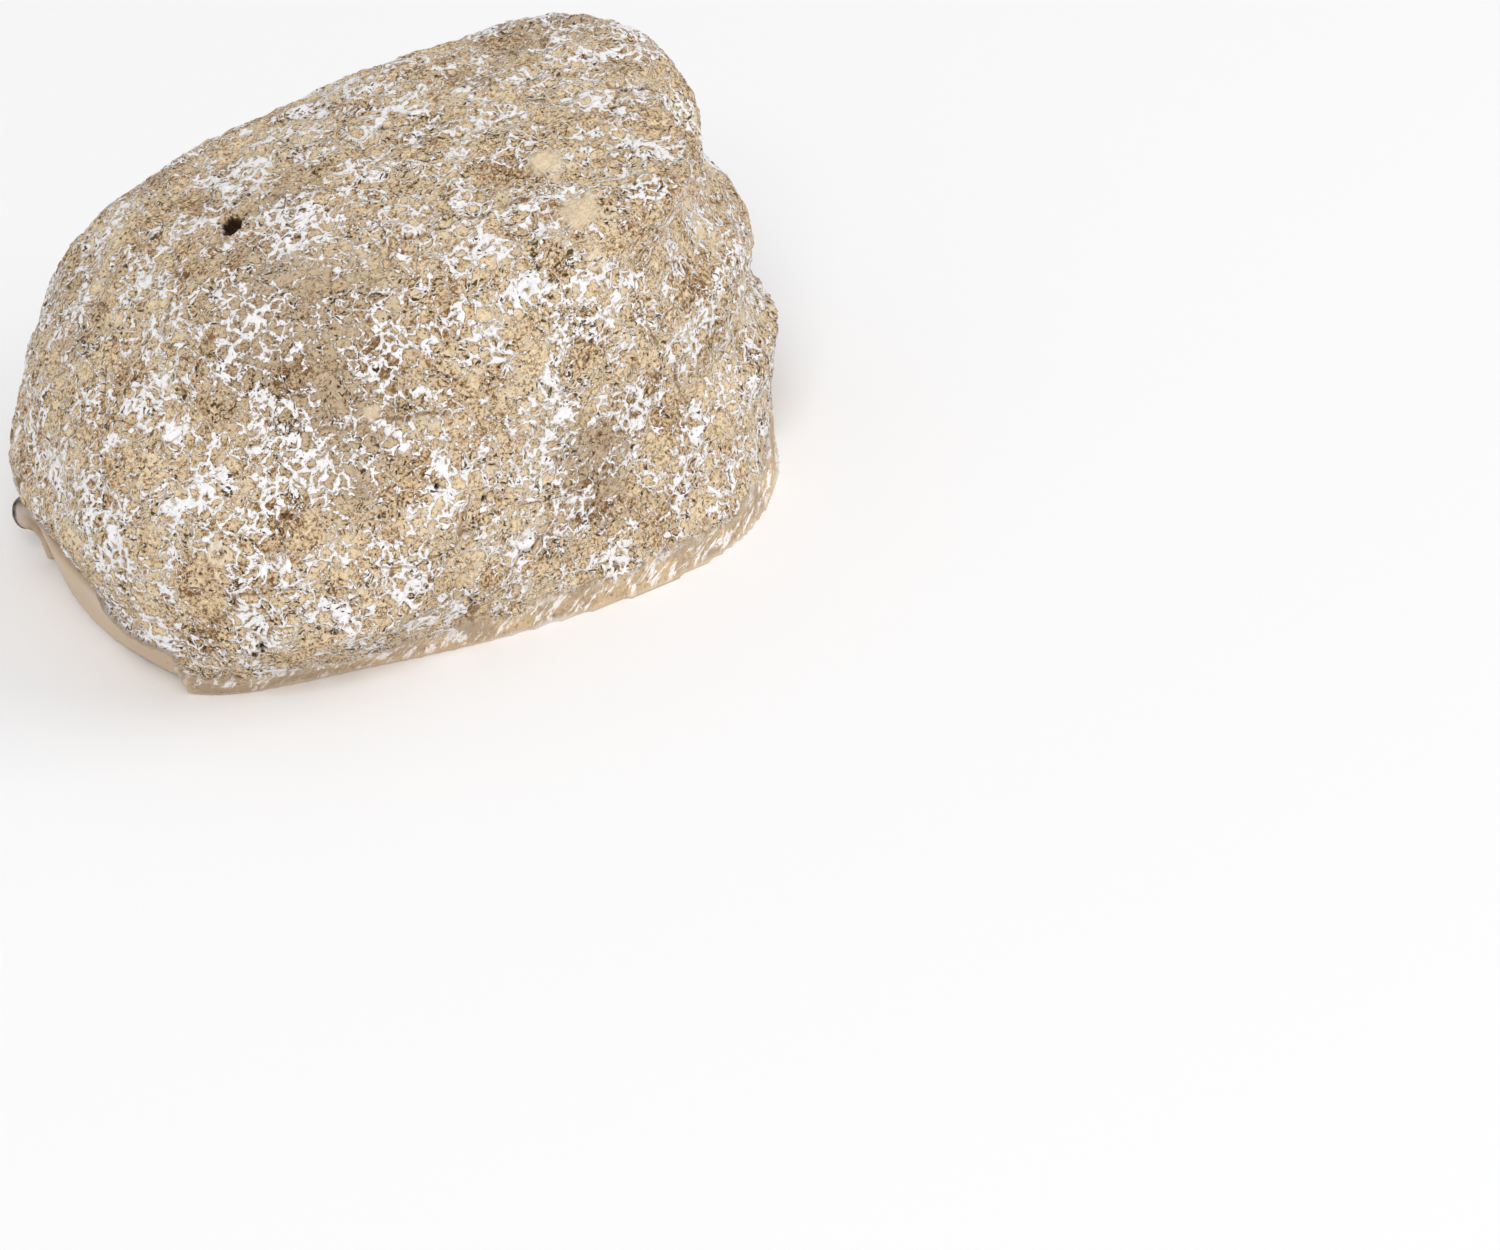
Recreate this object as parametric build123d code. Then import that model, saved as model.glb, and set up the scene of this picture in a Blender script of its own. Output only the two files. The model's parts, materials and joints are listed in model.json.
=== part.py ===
from build123d import *
import os
from math import asin, cos, degrees, radians, sin

# Hide-a-key rock: a cast resin stone that stands on a smooth flat base. A
# dovetail slab slides out of the base along +X and uncovers a key compartment.
# Millimetres, +Z up, origin in the middle of the stone's footprint on the base.

# ---------------------------------------------------------------- stone skin
# Where the stone's reaches are measured from.
heart_x = -1.45
heart_y = 2.75

# Overall size. The tiers below stretch with it.
stone_length = 104.5
stone_width = 73.5
stone_height = 53.6

# Each tier: height, lean of its centre along X, and the stone's reach in
# sixteen directions, every 22.5 degrees from +X round through +Y, drawn for a
# stone 104.5 long, 73.5 wide and 53.6 high.
base_face = (0.0, 0.0, [
    48.0, 47.0, 35.5, 31.5, 31.5, 35.5, 41.5, 45.0,
    46.0, 45.5, 40.0, 34.0, 32.5, 36.0, 45.5, 50.5,
])
rim_band = (4.5, 0.0, [
    48.0, 49.5, 39.5, 33.5, 32.0, 35.5, 41.0, 44.5,
    49.5, 49.5, 42.0, 35.0, 34.0, 38.0, 46.5, 51.5,
])
low_lobe = (11.0, 0.0, [
    49.5, 51.5, 45.5, 36.5, 32.5, 34.5, 39.5, 44.5,
    50.5, 51.0, 45.0, 37.5, 36.0, 39.0, 46.5, 52.5,
])
roof_edge = (17.0, 0.0, [
    53.5, 52.0, 45.5, 36.5, 32.5, 33.5, 39.5, 46.0,
    50.0, 50.0, 45.5, 39.5, 37.0, 40.5, 48.0, 53.5,
])
low_crease = (23.0, 0.0, [
    52.0, 50.5, 43.0, 35.5, 32.5, 33.0, 37.0, 42.0,
    45.0, 48.0, 45.5, 40.0, 38.0, 42.0, 48.5, 52.0,
])
middle_lobe = (29.0, 0.0, [
    49.0, 46.0, 37.0, 33.5, 32.5, 33.5, 38.0, 43.5,
    47.5, 47.0, 43.0, 39.0, 39.0, 42.5, 48.5, 49.5,
])
shoulder = (34.0, 0.0, [
    44.0, 37.5, 31.0, 31.0, 32.0, 34.0, 38.0, 42.5,
    46.0, 45.5, 41.5, 38.0, 38.5, 42.0, 47.0, 46.0,
])
high_crease = (39.5, 0.0, [
    38.5, 34.0, 29.5, 28.5, 30.5, 33.0, 35.5, 38.0,
    43.0, 43.5, 40.5, 36.5, 36.5, 39.0, 42.5, 41.5,
])
crown_side = (45.0, -4.0, [
    36.0, 33.0, 28.5, 26.0, 28.5, 31.0, 32.0, 33.0,
    39.5, 41.0, 39.5, 34.0, 33.0, 34.0, 37.5, 37.0,
])
crown_brow = (49.5, -12.0, [
    30.5, 27.0, 24.5, 25.5, 28.0, 29.5, 26.5, 24.0,
    29.0, 33.0, 34.0, 29.0, 27.0, 26.0, 27.0, 29.0,
])
crown_top = (52.4, -18.0, [
    20.0, 18.0, 19.0, 20.5, 23.5, 24.5, 20.5, 17.0,
    19.0, 23.0, 25.0, 22.5, 19.5, 18.0, 17.5, 18.5,
])
crown_tip = (53.6, -19.0, [
    8.0, 7.5, 7.5, 8.0, 8.5, 8.5, 8.0, 7.0,
    7.5, 8.5, 9.5, 9.0, 8.0, 7.5, 7.0, 7.5,
])
tiers = [
    base_face, rim_band, low_lobe, roof_edge, low_crease, middle_lobe,
    shoulder, high_crease, crown_side, crown_brow, crown_top, crown_tip,
]
levels_between = 1        # extra level lines between two tiers

# ---------------------------------------------------------------- sliding lid
lid_centre_y = 1.1
lid_inner_width = 31.6    # width of the outside face at the inner end
lid_outer_width = 34.4    # and at the outer end, where the fingers pull
lid_thickness = 7.6
lid_flare = 1.6           # how much wider the inside face is, on each side
lid_recess = 0.3          # outside face above the ground
lid_corner_x = 43.2       # corners of the outer end, halfway between the two
lid_end_skew = 1.1        # the -Y corner stands out this much more, the +Y one less
lid_end_bulge = 3.2       # how far the end's arc stands out past the corners
lid_end_lean = 1.5        # the end leans out over its thickness
lid_edge_bevel = 0.5

# Thumb scoop in the lid's outside face: half a disc that dips towards the end.
scoop_width = 10.0
scoop_depth = 1.9
scoop_from_end = 6.0      # its curved edge, from the tip of the lid's end

# ------------------------------------------------------------- dovetail slot
slot_end_x = -28.7        # closed end of the slot in the base
side_play = 0.8           # lid to slot, on each side
end_play = 0.9
roof_play = 0.4           # above the lid
slot_end_round = 1.2

# -------------------------------------------------------- key compartment
key_room_length = 62.0
key_room_width = 26.0
key_room_depth = 24.5     # from the base face
key_room_corner = 6.0
key_room_roof_round = 5.0
end_ledge = 1.2           # slot floor left at the closed end

slot_depth = lid_recess + lid_thickness + roof_play
lid_inner_x = slot_end_x + end_play
past_the_stone = 75.0


def stretch():
    """How much longer, wider and higher the stone is than it is drawn."""
    return stone_length / 104.5, stone_width / 73.5, stone_height / 53.6


def tier_points(tier):
    """The tier's points around its own centre, as (x, y)."""
    height, lean, reaches = tier
    longer, wider, higher = stretch()
    step = 360 / len(reaches)
    return [
        (
            heart_x + longer * (lean + reach * cos(radians(step * i))),
            heart_y + wider * reach * sin(radians(step * i)),
        )
        for i, reach in enumerate(reaches)
    ]


def slope_at(i, heights, values):
    """Slope of values over height at tier i, flat where they turn back."""
    last = len(heights) - 1
    below = max(i - 1, 0)
    above = min(i + 1, last)
    slopes = [
        (values[b] - values[a]) / (heights[b] - heights[a])
        for a, b in ((below, below + 1), (above - 1, above))
    ]
    if slopes[0] * slopes[1] <= 0:
        return 0
    return 2 * slopes[0] * slopes[1] / (slopes[0] + slopes[1])


def eased(i, share, heights, values):
    """The value at a share of the way from tier i to the next, with no bulge past either."""
    gap = heights[i + 1] - heights[i]
    start = slope_at(i, heights, values) * gap
    end = slope_at(i + 1, heights, values) * gap
    low = values[i] * (2 * share**3 - 3 * share**2 + 1) + start * (share**3 - 2 * share**2 + share)
    high = values[i + 1] * (3 * share**2 - 2 * share**3) + end * (share**3 - share**2)
    return low + high


def level_lines():
    """Closed level lines of the stone, at each tier and between them."""
    heights = [tier[0] * stretch()[2] for tier in tiers]
    points = [tier_points(tier) for tier in tiers]
    stops = [(0, 0)]
    for i in range(len(tiers) - 1):
        stops += [(i, (k + 1) / (levels_between + 1)) for k in range(levels_between + 1)]
    lines = []
    for i, share in stops:
        height = heights[i] + share * (heights[i + 1] - heights[i])
        ring = [
            (
                eased(i, share, heights, [line[j][0] for line in points]),
                eased(i, share, heights, [line[j][1] for line in points]),
                height,
            )
            for j in range(len(points[0]))
        ]
        lines.append(Wire([Edge.make_spline(ring, periodic=True)]))
    return lines


def stone():
    """The whole stone, lofted from level line to level line."""
    return Solid.make_loft(level_lines(), True)


def half_width(x, z, play):
    """Half the dovetail's width at x, flaring with height z."""
    run = (x - lid_inner_x) / (lid_corner_x - lid_inner_x)
    width = lid_inner_width + (lid_outer_width - lid_inner_width) * run
    return width / 2 + lid_flare * (z - lid_recess) / lid_thickness + play


def dovetail_outline(z, x_in, x_out, play, bulge):
    """The dovetail's outline at height z, with an arc at its outer end."""
    inner = half_width(x_in, z, play)
    outer = half_width(x_out, z, play)
    near_in = (x_in, lid_centre_y + inner, z)
    far_in = (x_in, lid_centre_y - inner, z)
    skew = lid_end_skew if bulge else 0
    near_out = (x_out - skew, lid_centre_y + outer, z)
    far_out = (x_out + skew, lid_centre_y - outer, z)
    if bulge:
        end = Edge.make_three_point_arc(far_out, (x_out + bulge, lid_centre_y, z), near_out)
    else:
        end = Edge.make_line(far_out, near_out)
    return Wire([
        Edge.make_line(near_in, far_in),
        Edge.make_line(far_in, far_out),
        end,
        Edge.make_line(near_out, near_in),
    ])


def thumb_scoop():
    """A cylinder tipped so that its far rim digs into the outside face."""
    radius = scoop_width / 2
    tip = degrees(asin(scoop_depth / radius))
    disc = Cylinder(radius, scoop_width, align=(Align.CENTER, Align.CENTER, Align.MAX))
    scoop_x = lid_corner_x + lid_end_bulge - scoop_from_end - radius
    return Pos(scoop_x, lid_centre_y, lid_recess) * Rot(0, -tip, 0) * disc


def sliding_lid():
    """Dovetail slab with an arc end, soft edges and a thumb scoop."""
    top = lid_recess + lid_thickness
    slab = Solid.make_loft([
        dovetail_outline(lid_recess, lid_inner_x, lid_corner_x, 0, lid_end_bulge),
        dovetail_outline(top, lid_inner_x, lid_corner_x + lid_end_lean, 0, lid_end_bulge),
    ], True)
    slab = chamfer(slab.edges(), lid_edge_bevel)
    return slab - thumb_scoop()


def slot():
    """What the dovetail leaves free in the base, open past the +X end."""
    cut = Solid.make_loft([
        dovetail_outline(z, slot_end_x, past_the_stone, side_play, 0)
        for z in (-1, slot_depth)
    ], True)
    closed_end = cut.faces().sort_by(Axis.X)[0]
    upright = [e for e in closed_end.edges() if abs(e.tangent_at(0).Z) > 0.7]
    return fillet(upright, slot_end_round)


def key_room():
    """The compartment above the slot, with rounded corners and roof."""
    height = key_room_depth - slot_depth / 2
    room = Box(
        key_room_length, key_room_width, height,
        align=(Align.MIN, Align.CENTER, Align.MAX),
    )
    room = Pos(slot_end_x + end_ledge, lid_centre_y, key_room_depth) * room
    room = fillet(room.edges().filter_by(Axis.Z), key_room_corner)
    return fillet(room.faces().sort_by(Axis.Z)[-1].edges(), key_room_roof_round)


def rock_body():
    return stone() - slot() - key_room()


nodes = {"rock_body": rock_body(), "sliding_lid": sliding_lid()}
os.makedirs("parts", exist_ok=True)
for name, shape in nodes.items():
    export_step(shape, f"parts/{name}.step")
    box = shape.bounding_box()
    print(name, "volume", round(shape.volume), "low", box.min, "high", box.max)
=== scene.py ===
import json

import bpy
import numpy as np
from bpy.props import FloatProperty, FloatVectorProperty, PointerProperty
from mathutils import Matrix, Vector

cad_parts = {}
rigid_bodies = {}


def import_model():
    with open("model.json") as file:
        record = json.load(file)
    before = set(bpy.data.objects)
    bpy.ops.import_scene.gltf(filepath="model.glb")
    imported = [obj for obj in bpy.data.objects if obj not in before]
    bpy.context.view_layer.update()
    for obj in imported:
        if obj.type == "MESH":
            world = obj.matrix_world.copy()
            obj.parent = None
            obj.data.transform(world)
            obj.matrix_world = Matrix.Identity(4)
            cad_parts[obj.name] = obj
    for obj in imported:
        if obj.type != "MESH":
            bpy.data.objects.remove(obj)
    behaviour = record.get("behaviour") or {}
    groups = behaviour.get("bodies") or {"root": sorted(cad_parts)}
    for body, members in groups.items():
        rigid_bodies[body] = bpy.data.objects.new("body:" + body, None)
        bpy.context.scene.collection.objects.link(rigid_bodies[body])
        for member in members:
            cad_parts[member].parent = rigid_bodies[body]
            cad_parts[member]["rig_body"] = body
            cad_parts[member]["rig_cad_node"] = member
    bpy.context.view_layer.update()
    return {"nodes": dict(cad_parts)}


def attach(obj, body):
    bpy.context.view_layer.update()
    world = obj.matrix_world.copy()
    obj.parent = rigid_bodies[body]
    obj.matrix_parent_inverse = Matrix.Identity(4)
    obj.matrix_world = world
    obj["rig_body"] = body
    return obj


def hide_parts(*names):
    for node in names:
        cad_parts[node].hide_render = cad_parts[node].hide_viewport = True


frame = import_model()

bl_info = {
    "name": "Hide-a-key rock",
    "version": (1, 0, 0),
    "blender": (4, 5, 0),
    "location": "3D View > Sidebar > Key rock",
    "description": "A cast resin stone with a sliding lid in its base",
    "category": "Add Mesh",
}

MM = 0.001
MERGE_WITHIN = 1e-6            # metres between points of loose triangles that are one point

# The dovetail slot and the key compartment in the base, in metres.
LID_CENTRE_Y = 0.0011
SLOT_END_X = -0.0287
SLOT_DEPTH = 0.0083
SLOT_HALF_WIDTH = 0.0166       # at the closed end, on the base face
SLOT_WIDENING = 0.0197         # of that half width, per metre along X
SLOT_FLARE = 0.2105            # and per metre of height
ROOM_LOW = Vector((-0.0275, -0.0119, 0.0))
ROOM_HIGH = Vector((0.0345, 0.0141, 0.0245))

# The rough skin fades in over these distances from the slot and above the base face, in metres.
SLOT_FADE = (0.3 * MM, 1.0 * MM)
BASE_FADE = (0.05 * MM, 0.8 * MM)

# Where one finish gives way to the next, and where painted shade sets in, in millimetres. Noise times
# the wander is added to the height first, so that the border wanders.
RIM_WANDER = 7.0
RIM_TO_ROUGH = (6.2, 8.6)          # height of the top of the smooth rim
SHADE_WANDER = 9.0
BARE_TO_PAINTED_SHADE = (9.0, 19.0)       # height in the key compartment over which the painted shade deepens
BASE_TO_SLOT = (0.4, 2.4)          # height above the base face, which has no painted shade
LID_SIDE_TO_END = (-27.2, -27.7)   # along X, at the lid's inner end face
LID_CREAM_TO_TAN = (41.5, 45.0)    # along X, painted shade at the lid's outer end
PARTING_HEIGHT = 4.4               # height of the line across the inner end face

# Marks on the stone and on the lid: places in millimetres, each with its radius.
BUBBLE_HOLES = (((19.3, -3.6, 48.7), 1.15), ((20.0, -2.2, 48.3), 1.1))
BUBBLE_RINGS = (
    ((-16.5, 24.3, 52.5), 0.9), ((-16.5, 28.0, 51.4), 0.9), ((-12.4, 31.5, 47.6), 1.1),
    ((40.2, 26.3, 23.9), 1.2), ((43.4, 25.4, 20.6), 0.7),
)
DARK_PITS = (
    ((-4.3, -6.7, 52.4), 0.6), ((13.7, 34.0, 26.9), 0.45),
    ((8.0, 35.6, 23.0), 0.4), ((38.4, 31.0, 11.4), 0.6),
)
SMOOTH_SPOTS = (((-13.8, 25.9, 51.7), 2.4), ((-15.3, 15.2, 53.2), 2.2), ((17.4, 26.1, 35.1), 1.0))
GREY_PLACES = (((22.9, 17.6, 44.9), 13.0), ((19.9, 24.9, 34.4), 8.0))
NUB = (((45.9, -20.0, 6.8), 2.3), ((44.8, -19.6, 7.0), 1.6))
# Painted shade in the lid's scoop: its brown tip and its tan hollow.
SCOOP_TIP = (((38.9, 3.6, 1.6), 1.0), ((38.2, 5.0, 1.2), 0.7))
SCOOP_SHADE = (((36.9, 1.1, 1.2), 3.6),)
LID_SCRAPE = (((23.8, 17.5, 0.8), 1.6), ((26.3, 17.6, 0.8), 1.9), ((28.8, 17.7, 0.8), 1.5))
LID_SMUDGE = (((43.6, 9.8, 0.4), 0.9), ((44.4, -6.5, 0.6), 0.8), ((42.6, -14.6, 0.6), 1.0))
NUB_STRETCH = (0.95, 0.9, 1.2)

# Marks too small for the stone's grid: its mesh is finer in them and this far round them.
FINE_MARKS = (*BUBBLE_HOLES, *BUBBLE_RINGS, *DARK_PITS)
FINE_ROUND = 0.6

# The camera: the point it was set up on, its axes there and its distance.
HEART = Vector((-0.00145, 0.00275, 0.0))
VIEW_RIGHT = Vector((-0.8639, 0.4946, -0.0952))
VIEW_DOWN = Vector((0.3516, 0.4568, -0.8171))
VIEW_FORWARD = Vector((-0.3607, -0.7394, -0.5685))
VIEW_DISTANCE = 0.6798
HEART_PIXEL = (438.6, 506.2)
IMAGE_SIZE = (1500, 1250)
FOCAL_PIXELS = 5243.0
SENSOR_WIDTH = 36.0
NEAREST_SEEN = 0.05
FARTHEST_SEEN = 20.0

# The floor and the lamps, in metres.
FLOOR_SIZE = 3.0
KEY_LAMP_PLACE = (0.9, 1.4, 2.1)
KEY_LAMP_SIZE = 1.2
FILL_LAMP_PLACE = (-1.6, 1.0, 1.0)
FILL_LAMP_SIZE = 1.4


def shown(red, green, blue):
    """A colour as it looks on screen, in 255ths, as the linear value that Blender keeps."""
    def linear(channel):
        share = channel / 255
        return share / 12.92 if share <= 0.04045 else ((share + 0.055) / 1.055) ** 2.4
    return (linear(red), linear(green), linear(blue))


def colour(name, description, red, green, blue):
    """A colour setting with its default."""
    return FloatVectorProperty(
        name=name, description=description, subtype="COLOR", size=3, min=0, max=1,
        default=shown(red, green, blue),
    )


def length(name, description, millimetres):
    """A length setting with its default."""
    return FloatProperty(
        name=name, description=description, unit="LENGTH", min=0,
        default=millimetres * MM, precision=5,
    )


class KeyRockStone(bpy.types.PropertyGroup):
    """Sizes and colours of the rough stone."""

    grid: length("Grid", "Edge length of the stone's mesh", 0.6)
    lump_depth: length("Lumps", "Depth of the broad hollows", 0.5)
    dish_depth: length("Dishes", "Depth of the hollows a few millimetres wide", 0.35)
    cobble_depth: length("Cobbles", "Depth of the small hollows between the ridges", 0.28)
    bubble_depth: length("Burst bubble", "Depth of the burst bubble", 1.7)
    pit_depth: length("Pits", "Depth of the dark pits", 0.7)
    seam_depth: length("Seams", "Depth of the fine seams", 0.25)
    grain_height: length("Grain", "Height of the grain too small for the mesh", 0.4)
    tan: colour("Tan", "Main colour of the stone", 215, 187, 148)
    beige: colour("Beige", "Smoother, paler places", 240, 220, 188)
    grey: colour("Grey", "Greyer, weathered places", 178, 156, 130)
    brown: colour("Brown", "Wash that has run into the hollows", 126, 91, 54)
    dark: colour("Dark", "Bottoms of the deepest pits", 52, 32, 14)
    paint: colour("Paint", "White dry-brushed paint on the ridges", 250, 247, 247)


class KeyRockResin(bpy.types.PropertyGroup):
    """Sizes and colours of the smooth cast resin of the lid and the base."""

    grid: length("Grid", "Edge length of the lid's mesh", 0.42)
    wave_depth: length("Waves", "Depth of the waves of the poured slab", 0.12)
    grain_height: length("Grain", "Height of the grain too small for the mesh", 0.08)
    cream: colour("Cream", "Main colour of the resin", 226, 207, 182)
    cloud: colour("Cloud", "Whitish clouds in the resin", 236, 226, 218)
    # Also painted shade on the lid's outer end and in its scoop.
    stain_and_shade: colour("Stain", "Tan stains in the resin", 206, 182, 153)
    speck: colour("Speck", "Tiny dark specks", 132, 112, 90)
    # Painted shade, browner deeper in the key compartment and at the tip of the lid's scoop.
    room: colour("Compartment", "Wash in the key compartment", 122, 92, 62)


class KeyRockStage(bpy.types.PropertyGroup):
    """Floor and light."""

    floor: colour("Floor", "Pale floor", 250, 250, 251)
    world_strength: FloatProperty(name="World", description="Light from all round", default=0.6)
    key_power: FloatProperty(name="Key", description="Power of the main lamp", default=28.0, unit="POWER")
    fill_power: FloatProperty(name="Fill", description="Power of the fill lamp", default=12.0, unit="POWER")


# ------------------------------------------------------------------ node trees
class Wires:
    """Adds nodes to a tree and joins them up, in shaders and geometry nodes alike."""

    def __init__(self, tree):
        self.tree = tree

    def node(self, kind, inputs=(), **settings):
        """A new node with these settings, and these values or wires at its inputs."""
        made = self.tree.nodes.new(kind)
        for name, value in settings.items():
            setattr(made, name, value)
        for key, value in dict(inputs).items():
            self.put(made.inputs[key], value)
        return made

    def put(self, socket, value):
        """Joins an output to the socket, or sets the socket to a number, colour or vector."""
        if isinstance(value, bpy.types.NodeSocket):
            self.tree.links.new(value, socket)
            return
        if socket.type == "RGBA" and len(value) == 3:
            value = (*value, 1)
        socket.default_value = value

    def math(self, operation, a, b=0, clamp=False):
        """A sum on one or two numbers."""
        return self.node("ShaderNodeMath", {0: a, 1: b}, operation=operation, use_clamp=clamp).outputs[0]

    def vector(self, operation, a, b):
        """A sum on two vectors, or on a vector and the number that scales it."""
        made = self.node("ShaderNodeVectorMath", {0: a}, operation=operation)
        self.put(made.inputs["Scale" if operation == "SCALE" else 1], b)
        return made.outputs["Value" if operation == "DISTANCE" else "Vector"]

    def noise(self, place, scale, detail=3, roughness=0.55):
        """Soft noise, as its node: a number and a colour."""
        inputs = {"Vector": place, "Scale": scale, "Detail": detail, "Roughness": roughness}
        return self.node("ShaderNodeTexNoise", inputs)

    def noise_value(self, place, scale, detail=3, roughness=0.55):
        """Soft noise, as a number."""
        return self.noise(place, scale, detail, roughness).outputs[0]

    def cells(self, place, scale, feature="F1"):
        """Distance from the middle of each cell, or from its edge."""
        inputs = {"Vector": place, "Scale": scale}
        return self.node("ShaderNodeTexVoronoi", inputs, feature=feature).outputs[0]

    def between(self, value, low, high, to_low=0, to_high=1, curve="SMOOTHSTEP"):
        """to_low where the value is low, to_high where it is high, and a soft run between."""
        return self.node("ShaderNodeMapRange", {
            "Value": value, "From Min": low, "From Max": high,
            "To Min": to_low, "To Max": to_high,
        }, interpolation_type=curve).outputs[0]

    def blend(self, share, a, b):
        """Colour a where share is 0, colour b where it is 1."""
        made = self.node("ShaderNodeMix", data_type="RGBA")
        self.put(made.inputs[0], share)
        self.put(made.inputs[6], a)
        self.put(made.inputs[7], b)
        return made.outputs[2]

    def warped(self, place, scale, reach, detail=2):
        """The place, pushed about by noise, so that what is drawn there wanders."""
        push = self.vector("SUBTRACT", self.noise(place, scale, detail).outputs[1], (0.5, 0.5, 0.5))
        return self.vector("ADD", place, self.vector("SCALE", push, reach))

    def near(self, place, spots, soft=0.25, grow=1.0):
        """1 inside any of the (place, radius) spots and 0 well outside them."""
        most = 0.0
        for middle, radius in spots:
            away = self.vector("DISTANCE", place, middle)
            reach = radius * grow
            share = self.between(away, reach * (1 + soft), reach * (1 - soft))
            most = self.math("MAXIMUM", share, most)
        return most

    def total(self, *terms):
        """Sum of (value, factor) pairs."""
        added = None
        for value, factor in terms:
            term = self.math("MULTIPLY", value, factor)
            added = term if added is None else self.math("ADD", added, term)
        return added


def stone_fields(wires, place):
    """Patterns of the stone, at a place in millimetres, that its mesh and its paint share."""
    wander = wires.warped(place, 0.3, 2.4)
    ragged = wires.warped(wander, 1.2, 1.5, 3)
    height = wires.node("ShaderNodeSeparateXYZ", {0: place}).outputs[2]
    edge_of_rim = wires.noise_value(place, 0.16, 3)
    crinkled = wires.warped(place, 0.9, 1.3)
    seam_lines = wires.cells(wires.warped(place, 0.07, 9.0, 3), 0.055, "DISTANCE_TO_EDGE")
    seam_gaps = wires.between(wires.noise_value(place, 0.09, 2), 0.5, 0.56)
    bubble = wires.near(crinkled, BUBBLE_RINGS, 0.3, 1.15)
    bubble_middle = wires.near(crinkled, BUBBLE_RINGS, 0.4, 0.55)
    return {
        "crinkled": crinkled,
        "hole": wires.near(crinkled, BUBBLE_HOLES),
        "ring": wires.math("SUBTRACT", bubble, bubble_middle),
        "pit": wires.near(crinkled, DARK_PITS, 0.4),
        "smooth": wires.near(crinkled, SMOOTH_SPOTS, 0.3),
        "nub": wires.near(place, NUB, 0.15, 1.2),
        "seam": wires.math("MULTIPLY", wires.between(seam_lines, 0.011, 0.004), seam_gaps),
        "wander": wander,
        "ragged": ragged,
        "lump": wires.noise_value(place, 0.07, 2),
        "dish": wires.cells(wander, 0.3),
        "ridge": wires.cells(ragged, 0.55, "DISTANCE_TO_EDGE"),
        "patch": wires.noise_value(wander, 0.17, 4, 0.6),
        "rough": wires.between(wires.total((height, 1), (edge_of_rim, RIM_WANDER)), *RIM_TO_ROUGH),
    }


# ----------------------------------------------------------------- mesh helpers
def select_only(*pieces):
    """Selects these pieces alone, the first of them active."""
    bpy.ops.object.select_all(action="DESELECT")
    for piece in pieces:
        piece.select_set(True)
    bpy.context.view_layer.objects.active = pieces[0]


def copy_of_node(node, name):
    """A copy of a CAD node as a piece of its own, with its loose triangles merged."""
    select_only(frame["nodes"][node])
    bpy.ops.object.duplicate()
    piece = bpy.context.object
    bpy.ops.object.parent_clear(type="CLEAR_KEEP_TRANSFORM")
    piece.name = piece.data.name = name
    del piece["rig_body"], piece["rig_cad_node"]
    piece.data.materials.clear()
    bpy.ops.object.mode_set(mode="EDIT")
    bpy.ops.mesh.select_all(action="SELECT")
    bpy.ops.mesh.remove_doubles(threshold=MERGE_WITHIN)
    bpy.ops.object.mode_set(mode="OBJECT")
    return piece


def remesh(piece, grid):
    """Even quads all over, as fine as grid."""
    select_only(piece)
    bpy.ops.object.modifier_add(type="REMESH")
    modifier = piece.modifiers[-1]
    modifier.mode = "VOXEL"
    modifier.voxel_size = grid
    modifier.use_smooth_shade = True
    bpy.ops.object.modifier_apply(modifier=modifier.name)


def rows_of(collection, name):
    """Three numbers for each vertex or face of a mesh, a row for each."""
    values = np.zeros(len(collection) * 3, np.float32)
    collection.foreach_get(name, values)
    return values.reshape(-1, 3)


def store(piece, name, values):
    """Keeps one number per vertex on the mesh, for the node trees."""
    layer = piece.data.attributes.new(name, "FLOAT", "POINT")
    layer.data.foreach_set("value", values.astype(np.float32))


def smooth_step(values, low, high):
    """0 below low, 1 above high, and a soft run between."""
    share = np.clip((values - low) / (high - low), 0, 1)
    return share * share * (3 - 2 * share)


def relief(piece, depth_of):
    """Sinks the piece's skin by the depth that depth_of draws, and keeps the place it had as rest."""
    tree = bpy.data.node_groups.new(f"{piece.name}_relief", "GeometryNodeTree")
    for side in ("INPUT", "OUTPUT"):
        tree.interface.new_socket("Geometry", in_out=side, socket_type="NodeSocketGeometry")
    wires = Wires(tree)
    start = wires.node("NodeGroupInput").outputs[0]
    position = wires.node("GeometryNodeInputPosition").outputs[0]
    normal = wires.node("GeometryNodeInputNormal").outputs[0]
    place = wires.vector("SCALE", position, 1 / MM)
    rest = wires.node(
        "GeometryNodeStoreNamedAttribute",
        {"Geometry": start, "Name": "rest", "Value": place},
        data_type="FLOAT_VECTOR", domain="POINT",
    )
    raised = wires.math("MULTIPLY", depth_of(wires, place), -1)
    sunk = wires.node("GeometryNodeSetPosition", {
        "Geometry": rest.outputs[0],
        "Offset": wires.vector("SCALE", normal, raised),
    })
    wires.node("NodeGroupOutput", {0: sunk.outputs[0]})
    select_only(piece)
    bpy.ops.object.modifier_add(type="NODES")
    modifier = piece.modifiers[-1]
    modifier.node_group = tree
    bpy.ops.object.modifier_apply(modifier=modifier.name)


def attribute(wires, name, kind="Fac"):
    """A number or vector kept on the mesh."""
    if wires.tree.type == "GEOMETRY":
        made = wires.node("GeometryNodeInputNamedAttribute", {"Name": name}, data_type="FLOAT")
        return made.outputs[0]
    made = wires.node("ShaderNodeAttribute", attribute_name=name)
    return made.outputs[kind]


def new_material(name):
    """An empty material with its output and shader."""
    material = bpy.data.materials.new(name)
    material.use_nodes = True
    material.node_tree.nodes.clear()
    wires = Wires(material.node_tree)
    shader = wires.node("ShaderNodeBsdfPrincipled")
    wires.node("ShaderNodeOutputMaterial", {"Surface": shader.outputs[0]})
    return material, wires, shader


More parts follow.
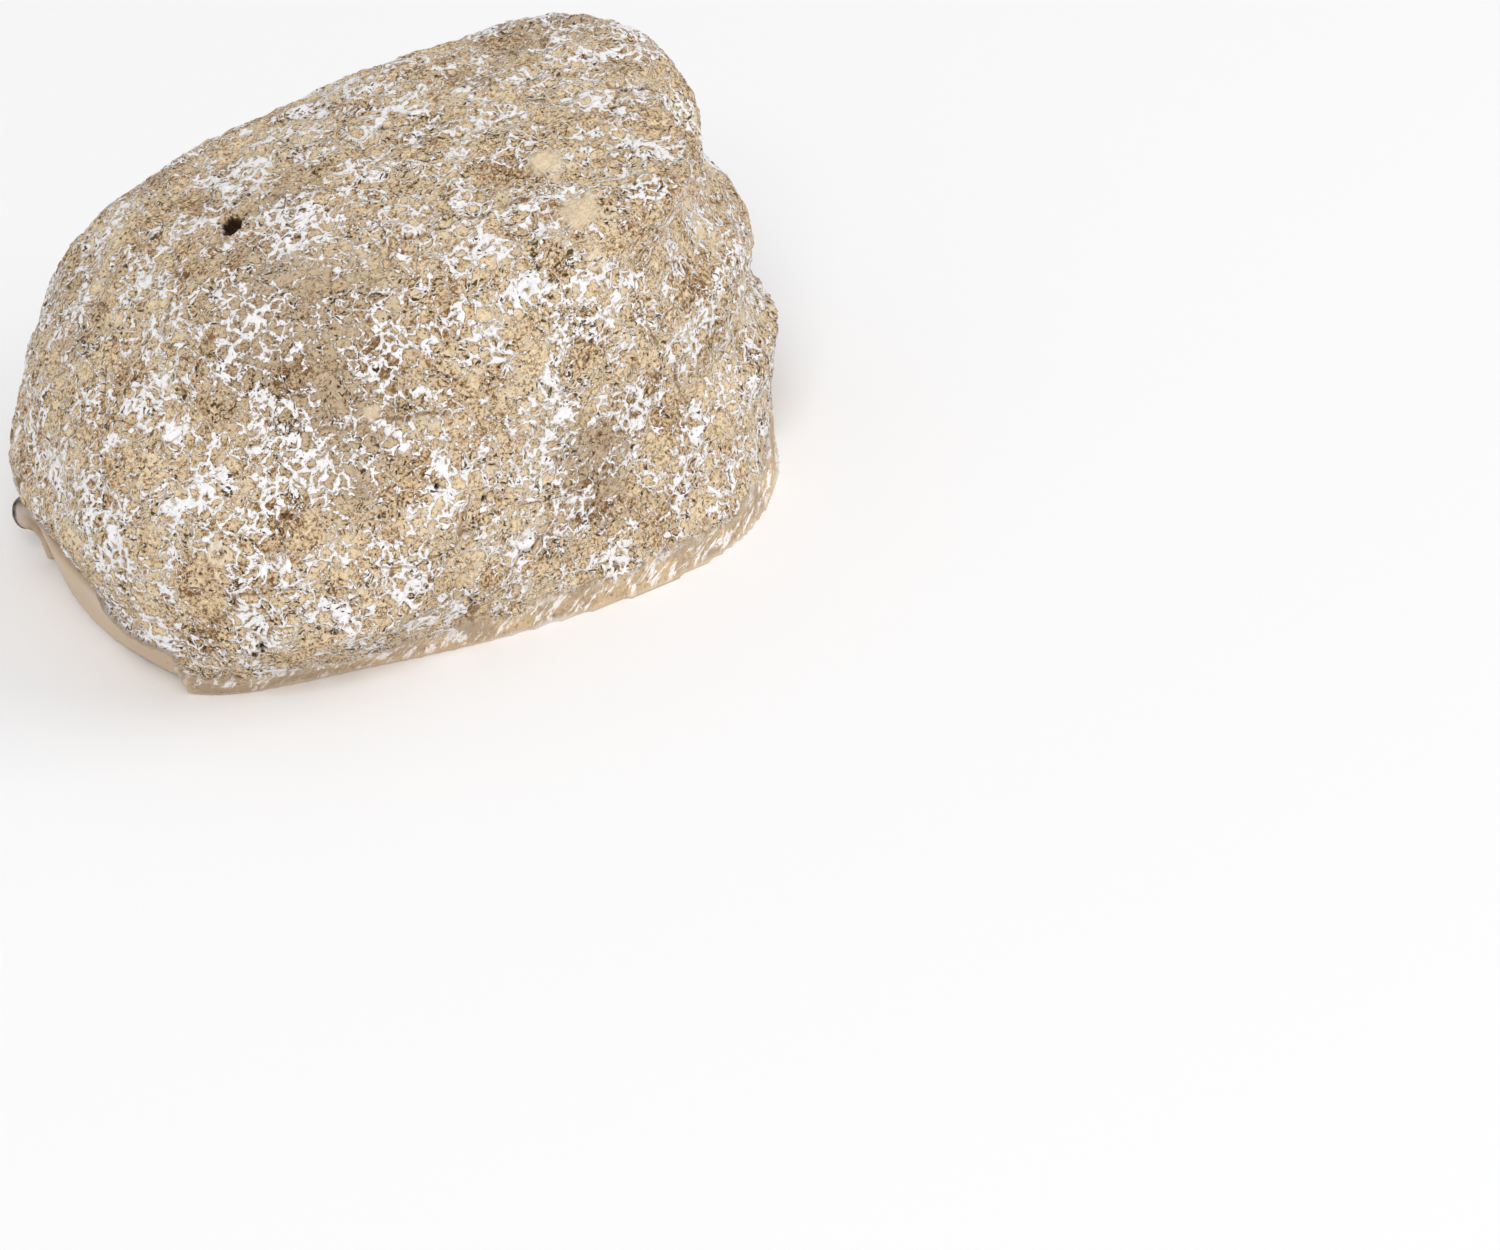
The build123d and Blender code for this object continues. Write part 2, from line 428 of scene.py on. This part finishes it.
def resin_colour(wires, place):
    """Cream resin with whitish clouds, tan stains and specks, of the lid and the stone's base."""
    look = bpy.context.scene.key_rock_resin
    flow = wires.warped(wires.warped(place, 0.03, 22.0, 1), 0.25, 1.2, 2)
    cloud = wires.noise_value(flow, 0.045, 1, 0.5)
    made = wires.blend(wires.between(cloud, 0.46, 0.56), look.cream, look.cloud)
    stain_and_shade = wires.noise_value(flow, 0.08, 2, 0.5)
    made = wires.blend(wires.between(stain_and_shade, 0.46, 0.62, 0, 0.75), made, look.stain_and_shade)
    dust = wires.noise_value(place, 1.3, 3, 0.7)
    made = wires.blend(wires.between(dust, 0.62, 0.74, 0, 0.3), made, look.speck)
    speck = wires.cells(place, 0.32)
    return wires.blend(wires.between(speck, 0.075, 0.04, 0, 0.8), made, look.speck)


# -------------------------------------------------------------------- the stone
def slot_distance(points):
    """How far each point is outside the slot and the compartment, in metres, below 0 inside."""
    x, y, z = points.T
    aside = np.abs(y - LID_CENTRE_Y)
    half = SLOT_HALF_WIDTH + SLOT_WIDENING * (x - SLOT_END_X) + SLOT_FLARE * z
    in_slot = np.maximum.reduce([aside - half, z - SLOT_DEPTH, SLOT_END_X - x])
    room = np.maximum.reduce([
        ROOM_LOW.x - x, x - ROOM_HIGH.x, ROOM_LOW.y - y, y - ROOM_HIGH.y, z - ROOM_HIGH.z,
    ])
    return np.minimum(in_slot, room)


def stone_depth(wires, place):
    """How deep the stone's skin lies under its CAD surface."""
    look = bpy.context.scene.key_rock_stone
    field = stone_fields(wires, place)
    crumbs = wires.noise_value(place, 0.55, 3, 0.6)
    rough = wires.total(
        (wires.between(field["dish"], 0.75, 0.1), look.dish_depth),
        (wires.between(field["ridge"], 0.02, 0.3), look.cobble_depth),
        (wires.between(crumbs, 0.65, 0.35), look.cobble_depth),
    )
    plain = wires.total((field["ring"], 1), (field["smooth"], 0.8), (field["nub"], 1))
    rough = wires.math("MULTIPLY", rough, wires.math("SUBTRACT", 1, plain, clamp=True))
    depth = wires.total(
        (rough, field["rough"]),
        (wires.between(field["lump"], 0.35, 0.65), look.lump_depth),
        (field["hole"], look.bubble_depth),
        (field["pit"], look.pit_depth),
        (field["seam"], look.seam_depth),
    )
    return wires.math("MULTIPLY", depth, attribute(wires, "skin"))


def small_pits(wires, field):
    """Small pits of many sizes, in clusters, 1 at their bottoms."""
    pits = wires.node("ShaderNodeTexVoronoi", {"Vector": field["ragged"], "Scale": 2.1}, feature="F1")
    chance = wires.node("ShaderNodeSeparateColor", {0: pits.outputs["Color"]}).outputs[1]
    cluster = wires.noise_value(field["wander"], 0.22, 3, 0.6)
    chance = wires.math("ADD", chance, wires.between(cluster, 0.35, 0.65, -0.22, 0.3, "LINEAR"))
    size = wires.between(chance, 0.62, 1.15, 0.05, 0.5, "LINEAR")
    pit = wires.between(wires.math("SUBTRACT", pits.outputs["Distance"], size), 0.1, -0.12)
    pit = wires.math("MULTIPLY", pit, wires.between(chance, 0.6, 0.7))
    return wires.math("MULTIPLY", pit, wires.math("SUBTRACT", 1, field["smooth"]))


def rough_skin(wires, place, field):
    """Colour, paint and grain of the rough skin."""
    look = bpy.context.scene.key_rock_stone
    ridge = field["ridge"]

    # Tan flats, mottled down to the finest grain.
    grain = wires.noise_value(place, 2.3, 3, 0.7)
    crumb = wires.noise_value(field["ragged"], 0.8, 4, 0.7)
    mottle = wires.noise_value(field["wander"], 0.13, 3, 0.6)
    shade = wires.total((grain, 0.95), (crumb, 0.55), (mottle, 0.5))
    flats = wires.blend(wires.between(shade, 0.98, 1.13), look.tan, look.beige)
    weather = wires.math("MULTIPLY", wires.between(wires.noise_value(place, 0.05, 3, 0.6), 0.52, 0.66), 0.6)
    blotch = wires.near(wires.warped(place, 0.06, 20.0, 3), GREY_PLACES, 0.6)
    weather = wires.math("MAXIMUM", weather, wires.math("MULTIPLY", blotch, 0.6))
    flats = wires.blend(weather, flats, look.grey)
    flats = wires.blend(wires.between(shade, 0.99, 0.85), flats, look.brown)

    # White paint: a broken network between the cobbles that thickens in patches.
    width = wires.between(field["patch"], 0.34, 0.66, -0.08, 0.17, "LINEAR")
    fray = wires.total((crumb, 0.55), (grain, 0.45))
    lack = wires.math("SUBTRACT", wires.math("ADD", ridge, fray), wires.math("ADD", width, 0.5))
    flecked = wires.between(field["patch"], 0.38, 0.5)
    fleck = wires.math("MULTIPLY", wires.between(grain, 0.61, 0.65), flecked)
    paint = wires.math("MAXIMUM", wires.between(lack, 0.03, -0.015), fleck)

    # Wash that has run down beside the painted ridges.
    beside = wires.math("MULTIPLY", wires.between(lack, 0.02, 0.045), wires.between(lack, 0.15, 0.06))
    beside = wires.math("MULTIPLY", beside, wires.between(grain, 0.62, 0.42, 0.1, 0.85))
    flats = wires.blend(beside, flats, look.brown)

    # Bare smooth places, the rims of bubbles and fine seams.
    flats = wires.blend(wires.math("MULTIPLY", field["smooth"], 0.7), flats, look.beige)
    flats = wires.blend(wires.math("MULTIPLY", field["ring"], 0.9), flats, look.beige)
    flats = wires.blend(wires.math("MULTIPLY", field["seam"], 0.65), flats, look.brown)
    bare = wires.total((field["smooth"], 1), (field["seam"], 0.6), (field["ring"], 0.7))
    paint = wires.math("MULTIPLY", paint, wires.math("SUBTRACT", 1, bare, clamp=True))

    # No paint in the pits, and dark at their bottoms and in the burst bubble.
    pit = small_pits(wires, field)
    paint = wires.math("MULTIPLY", paint, wires.math("SUBTRACT", 1, pit))
    painted = wires.blend(paint, flats, look.paint)
    deep = wires.math("MAXIMUM", wires.math("MULTIPLY", pit, 0.9), field["pit"])
    torn = wires.near(field["crinkled"], BUBBLE_HOLES, 0.12, 1.2)
    painted = wires.blend(wires.math("MAXIMUM", deep, torn), painted, look.dark)

    # Height of the grain, with the paint standing a little proud.
    coarse = wires.noise_value(place, 1.1, 2, 0.6)
    raised = wires.total(
        (grain, 0.35), (coarse, 0.8), (crumb, 0.6), (wires.between(ridge, 0.3, 0.0), 0.3),
        (pit, -0.6), (paint, 0.25), (field["smooth"], 0.2),
    )
    return painted, paint, raised


def rim_skin(wires, place):
    """Colour and grain of the smooth rim above the base, with slanting strokes of a dry brush."""
    look = bpy.context.scene.key_rock_stone
    axes = wires.node("ShaderNodeSeparateXYZ", {0: wires.warped(place, 0.4, 1.4)}).outputs
    along = wires.math("SUBTRACT", axes[0], axes[1])
    stroke = wires.node("ShaderNodeCombineXYZ", {
        0: wires.math("MULTIPLY", wires.math("ADD", along, axes[2]), 0.95),
        1: wires.math("MULTIPLY", wires.math("SUBTRACT", along, axes[2]), 0.2),
        2: wires.math("MULTIPLY", wires.math("ADD", axes[0], axes[1]), 0.2),
    }).outputs[0]
    brushed = wires.noise_value(stroke, 1.0, 4, 0.7)
    smudge = wires.noise_value(place, 0.16, 3, 0.6)
    grain = wires.noise_value(place, 1.6, 3, 0.7)
    shade = wires.total((smudge, 0.7), (grain, 0.5))
    made = wires.blend(wires.between(shade, 0.52, 0.7), look.grey, look.tan)
    made = wires.blend(wires.between(grain, 0.42, 0.3, 0, 0.7), made, look.brown)
    paint = wires.math("MULTIPLY", wires.between(brushed, 0.52, 0.56), wires.between(smudge, 0.34, 0.48))
    return wires.blend(wires.math("MULTIPLY", paint, 0.9), made, look.paint), brushed


def base_colour(wires, place):
    """Smooth resin of the base and the slot, with painted shade above the base face that browns deeper into
    the key compartment.
    """
    height = wires.node("ShaderNodeSeparateXYZ", {0: place}).outputs[2]
    blotch = wires.noise_value(wires.warped(place, 0.1, 5.0), 0.16, 4, 0.65)
    # Painted shade: browner the higher it lies in the key compartment.
    painted_shade = wires.between(wires.total((height, 1), (blotch, SHADE_WANDER)), *BARE_TO_PAINTED_SHADE, 0.22, 0.95)
    painted_shade = wires.math("MULTIPLY", painted_shade, wires.between(height, *BASE_TO_SLOT))
    return wires.blend(painted_shade, resin_colour(wires, place), bpy.context.scene.key_rock_resin.room)


def stone_material():
    """Rough painted skin, its smooth rim, the crusty nub, and resin with painted shade in the base."""
    look = bpy.context.scene.key_rock_stone
    material, wires, shader = new_material("painted_stone")
    place = attribute(wires, "rest", "Vector")
    skin = attribute(wires, "skin")
    field = stone_fields(wires, place)
    rough, paint, rough_raised = rough_skin(wires, place, field)
    rim, rim_raised = rim_skin(wires, place)
    surface = wires.blend(field["rough"], rim, rough)
    crumble = wires.noise_value(place, 1.1, 3)
    crust = wires.blend(wires.between(crumble, 0.38, 0.85), look.dark, look.grey)
    surface = wires.blend(field["nub"], surface, crust)
    wires.put(shader.inputs["Base Color"], wires.blend(skin, base_colour(wires, place), surface))
    wires.put(shader.inputs["Roughness"], wires.between(paint, 0, 1, 0.62, 0.5))

    # Grain too small for the mesh.
    raised = wires.between(field["rough"], 0, 1, wires.math("MULTIPLY", rim_raised, 0.3), rough_raised)
    raised = wires.math("MULTIPLY", raised, wires.between(skin, 0, 1, 0.12, 1))
    bump = wires.node("ShaderNodeBump", {"Strength": 1.0, "Distance": look.grain_height, "Height": raised})
    wires.put(shader.inputs["Normal"], bump.outputs[0])
    shader.inputs["Specular IOR Level"].default_value = 0.2
    return material


def add_nub(stone):
    """A rough lump of resin left at the far corner of the lid's end."""
    middle, radius = NUB[0]
    bpy.ops.object.select_all(action="DESELECT")
    bpy.ops.mesh.primitive_ico_sphere_add(
        subdivisions=3, radius=radius * MM, location=Vector(middle) * MM, scale=NUB_STRETCH,
    )
    nub = bpy.context.object
    bpy.ops.object.transform_apply(location=True, rotation=True, scale=True)
    select_only(stone, nub)
    bpy.ops.object.join()


def refine_near(piece, spots, reach):
    """Cuts the faces near the spots finer, for relief too small for the grid."""
    centres = rows_of(piece.data.polygons, "center") / MM
    near = np.zeros(len(centres), bool)
    for middle, radius in spots:
        near |= np.linalg.norm(centres - np.array(middle), axis=1) < radius + reach
    select_only(piece)
    bpy.ops.object.mode_set(mode="EDIT")
    bpy.ops.mesh.select_mode(type="FACE")
    bpy.ops.mesh.select_all(action="DESELECT")
    bpy.ops.object.mode_set(mode="OBJECT")
    piece.data.polygons.foreach_set("select", near)
    bpy.ops.object.mode_set(mode="EDIT")
    bpy.ops.mesh.subdivide(number_cuts=2)
    bpy.ops.object.mode_set(mode="OBJECT")


class KEYROCK_OT_stone(bpy.types.Operator):
    """Add the cast stone with its rough, dry-brushed skin"""

    bl_idname = "keyrock.stone"
    bl_label = "Stone"

    def execute(self, context):
        look = context.scene.key_rock_stone
        piece = copy_of_node("rock_body", "stone")
        add_nub(piece)
        remesh(piece, look.grid)
        refine_near(piece, FINE_MARKS, FINE_ROUND)
        points = rows_of(piece.data.vertices, "co")
        away = smooth_step(slot_distance(points), *SLOT_FADE)
        up = smooth_step(points[:, 2], *BASE_FADE)
        store(piece, "skin", away * up)
        relief(piece, stone_depth)
        piece.data.materials.append(stone_material())
        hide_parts("rock_body")
        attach(piece, "rock")
        return {"FINISHED"}


# ---------------------------------------------------------------------- the lid
def lid_depth(wires, place):
    """Slight waves of a hand-poured slab."""
    look = bpy.context.scene.key_rock_resin
    wave = wires.noise_value(place, 0.09, 2)
    return wires.math("MULTIPLY", wires.between(wave, 0.3, 0.7), look.wave_depth)


def resin_material():
    """Smooth resin of the lid, with its end faces, its scoop and its worn places, and painted shade at its
    outer end and in its scoop.
    """
    look = bpy.context.scene.key_rock_resin
    material, wires, shader = new_material("cream_resin")
    place = attribute(wires, "rest", "Vector")
    axes = wires.node("ShaderNodeSeparateXYZ", {0: place}).outputs
    grain = wires.noise_value(place, 1.2, 4, 0.6)
    crinkled = wires.warped(place, 0.8, 1.8)

    # The cast end face, whiter, with its parting line.
    end_face = wires.between(axes[0], *LID_SIDE_TO_END)
    made = wires.blend(end_face, resin_colour(wires, place), look.cloud)
    off_line = wires.math("ABSOLUTE", wires.math("SUBTRACT", axes[2], PARTING_HEIGHT))
    line = wires.math("MULTIPLY", wires.between(off_line, 0.3, 0.1), end_face)
    made = wires.blend(wires.math("MULTIPLY", line, 0.5), made, look.stain_and_shade)

    # Painted shade makes the outer end tanner and the scoop tan with a brown tip. The long edge has a
    # scrape, the arc smudges.
    made = wires.blend(wires.between(axes[0], *LID_CREAM_TO_TAN, 0, 0.8), made, look.stain_and_shade)
    shade = wires.math("MULTIPLY", wires.near(crinkled, SCOOP_SHADE, 0.3), 0.75)
    made = wires.blend(shade, made, look.stain_and_shade)
    made = wires.blend(wires.near(crinkled, SCOOP_TIP, 0.4), made, look.room)
    worn = wires.near(crinkled, (*LID_SCRAPE, *LID_SMUDGE), 0.3)
    worn = wires.math("MULTIPLY", worn, wires.between(grain, 0.35, 0.65, 0.35, 0.85))
    made = wires.blend(worn, made, look.speck)
    wires.put(shader.inputs["Base Color"], made)
    wires.put(shader.inputs["Roughness"], wires.between(grain, 0.3, 0.7, 0.42, 0.6))
    bump = wires.node("ShaderNodeBump", {"Strength": 0.5, "Distance": look.grain_height, "Height": grain})
    wires.put(shader.inputs["Normal"], bump.outputs[0])
    return material


class KEYROCK_OT_lid(bpy.types.Operator):
    """Add the sliding lid of smooth resin"""

    bl_idname = "keyrock.lid"
    bl_label = "Sliding lid"

    def execute(self, context):
        piece = copy_of_node("sliding_lid", "lid")
        remesh(piece, context.scene.key_rock_resin.grid)
        relief(piece, lid_depth)
        piece.data.materials.append(resin_material())
        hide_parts("sliding_lid")
        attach(piece, "lid")
        return {"FINISHED"}


# -------------------------------------------------------------------- the stage
def lamp(name, place, size, power):
    """A square soft box that faces the stone."""
    bpy.ops.object.light_add(type="AREA", location=place)
    made = bpy.context.object
    made.name = made.data.name = name
    made.data.size = size
    made.data.energy = power
    aim = (HEART - Vector(place)).to_track_quat("-Z", "Y")
    made.rotation_euler = aim.to_euler()


def pixel_direction(x, y):
    """Direction from the camera through a pixel of the image."""
    return (
        VIEW_FORWARD * FOCAL_PIXELS
        + VIEW_RIGHT * (x - HEART_PIXEL[0])
        + VIEW_DOWN * (y - HEART_PIXEL[1])
    ).normalized()


def make_camera():
    """The camera stands where it was set up, turned so that the image's middle is on its axis."""
    ahead = pixel_direction(IMAGE_SIZE[0] / 2, IMAGE_SIZE[1] / 2)
    turn = VIEW_FORWARD.rotation_difference(ahead)
    right = turn @ VIEW_RIGHT
    up = -(turn @ VIEW_DOWN)
    bpy.ops.object.camera_add(location=HEART - VIEW_FORWARD * VIEW_DISTANCE)
    camera = bpy.context.object
    camera.rotation_euler = Matrix((right, up, -ahead)).transposed().to_euler()
    camera.data.sensor_width = SENSOR_WIDTH
    camera.data.lens = FOCAL_PIXELS * SENSOR_WIDTH / IMAGE_SIZE[0]
    camera.data.clip_start = NEAREST_SEEN
    camera.data.clip_end = FARTHEST_SEEN
    bpy.context.scene.camera = camera


def make_world(strength):
    """Even light from all round, and plain white where the camera sees it."""
    world = bpy.data.worlds.new("studio")
    bpy.context.scene.world = world
    world.use_nodes = True
    world.node_tree.nodes.clear()
    wires = Wires(world.node_tree)
    path = wires.node("ShaderNodeLightPath")
    seen = wires.math("MAXIMUM", path.outputs["Is Camera Ray"], path.outputs["Is Glossy Ray"])
    seen = wires.math("MAXIMUM", seen, path.outputs["Is Transmission Ray"])
    power = wires.between(seen, 0, 1, strength, 1.0, "LINEAR")
    sky = wires.node("ShaderNodeBackground", {"Color": (1, 1, 1), "Strength": power})
    wires.node("ShaderNodeOutputWorld", {"Surface": sky.outputs[0]})


class KEYROCK_OT_stage(bpy.types.Operator):
    """Add the floor, the lamps, the world and the camera"""

    bl_idname = "keyrock.stage"
    bl_label = "Stage"

    def execute(self, context):
        look = context.scene.key_rock_stage
        bpy.ops.object.select_all(action="DESELECT")
        bpy.ops.mesh.primitive_plane_add(size=FLOOR_SIZE)
        floor = context.object
        floor.name = floor.data.name = "floor"
        material, wires, shader = new_material("pale_floor")
        wires.put(shader.inputs["Base Color"], look.floor)
        shader.inputs["Roughness"].default_value = 0.9
        shader.inputs["Specular IOR Level"].default_value = 0.1
        floor.data.materials.append(material)
        lamp("key_lamp", KEY_LAMP_PLACE, KEY_LAMP_SIZE, look.key_power)
        lamp("fill_lamp", FILL_LAMP_PLACE, FILL_LAMP_SIZE, look.fill_power)
        make_world(look.world_strength)
        make_camera()
        context.scene.view_settings.view_transform = "Standard"
        return {"FINISHED"}


class KEYROCK_PT_panel(bpy.types.Panel):
    """Buttons and settings of the key rock"""

    bl_label = "Key rock"
    bl_idname = "KEYROCK_PT_panel"
    bl_space_type = "VIEW_3D"
    bl_region_type = "UI"
    bl_category = "Key rock"

    def draw(self, context):
        for operator in OPERATORS:
            self.layout.operator(operator.bl_idname)
        for group in SETTINGS:
            box = self.layout.box()
            for name in SETTINGS[group].__annotations__:
                box.prop(getattr(context.scene, group), name)


OPERATORS = (KEYROCK_OT_stage, KEYROCK_OT_stone, KEYROCK_OT_lid)
SETTINGS = {
    "key_rock_stone": KeyRockStone,
    "key_rock_resin": KeyRockResin,
    "key_rock_stage": KeyRockStage,
}


def register():
    """Makes the settings, the operators and the panel known to Blender."""
    for made in (*SETTINGS.values(), *OPERATORS, KEYROCK_PT_panel):
        bpy.utils.register_class(made)
    for name, group in SETTINGS.items():
        setattr(bpy.types.Scene, name, PointerProperty(type=group))


def unregister():
    """Takes them away again, last first."""
    for name in SETTINGS:
        delattr(bpy.types.Scene, name)
    for made in reversed((*SETTINGS.values(), *OPERATORS, KEYROCK_PT_panel)):
        bpy.utils.unregister_class(made)


def main():
    """Builds the stage, the stone and the lid."""
    register()
    bpy.ops.keyrock.stage()
    bpy.ops.keyrock.stone()
    bpy.ops.keyrock.lid()


if __name__ == "__main__":
    main()
